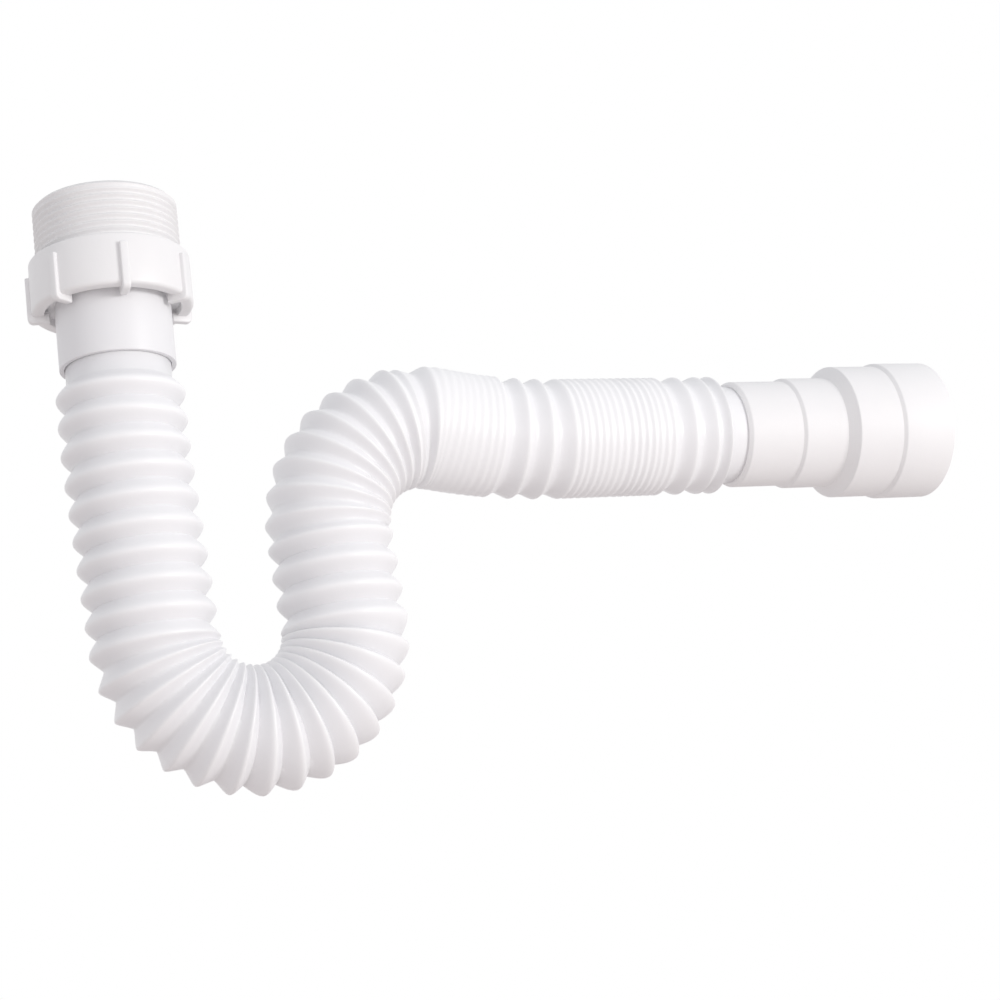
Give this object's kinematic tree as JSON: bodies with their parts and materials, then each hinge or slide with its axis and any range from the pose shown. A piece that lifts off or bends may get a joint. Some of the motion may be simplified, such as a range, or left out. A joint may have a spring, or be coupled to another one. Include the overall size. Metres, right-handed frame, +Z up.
{
  "type": "corrugated trap",
  "caption": "Extensible corrugated sink trap: threaded inlet with a ribbed union nut, a bellows tube in an S shape with a water-seal bend, and a stepped outlet spigot.",
  "frame": {"origin": "middle of the inlet mouth, on the top face of the threaded adapter", "axes": "+Z up along the inlet, +X along the outlet towards its rim, Y square to the plane of the bends"},
  "size_m": [0.3256, 0.0543, 0.2004],
  "materials": {
    "adapter_plastic": "satin white polypropylene",
    "nut_plastic": "satin white polypropylene",
    "sleeve_plastic": "smooth white polypropylene",
    "tube_plastic": "satin white blow-moulded polypropylene",
    "spigot_plastic": "smooth white polypropylene",
    "seal_rubber": "matt black rubber"
  },
  "bodies": {
    "adapter": {"threaded_adapter": "adapter_plastic", "inlet_seal": "seal_rubber"},
    "seal": {"flange_seal": "seal_rubber"},
    "nut": {"union_nut": "nut_plastic"},
    "tube": {"flanged_sleeve": "sleeve_plastic", "corrugated_tube": "tube_plastic"},
    "spigot": {"outlet_spigot": "spigot_plastic"}
  },
  "joints": [
    {"name": "union_release", "type": "slide", "parent": "adapter", "child": "seal", "axis": [0, 0, 1], "range_m": [-0.015, 0]},
    {"name": "nut_turn", "type": "hinge", "parent": "seal", "child": "nut", "pos_m": [0, 0, -0.027], "axis": [0, 0, 1], "range_deg": [-2340, 0]},
    {"name": "tube_swivel", "type": "hinge", "parent": "seal", "child": "tube", "pos_m": [0, 0, -0.0335], "axis": [0, 0, 1], "continuous": true},
    {"name": "bellows_stretch", "type": "slide", "parent": "tube", "child": "spigot", "axis": [1, 0, 0], "range_m": [-0.03, 0.13], "deforming": ["corrugated_tube"]}
  ],
  "couplings": [
    {"joint": "nut_turn", "follows": "union_release", "rad_per_m": 2721.2}
  ]
}
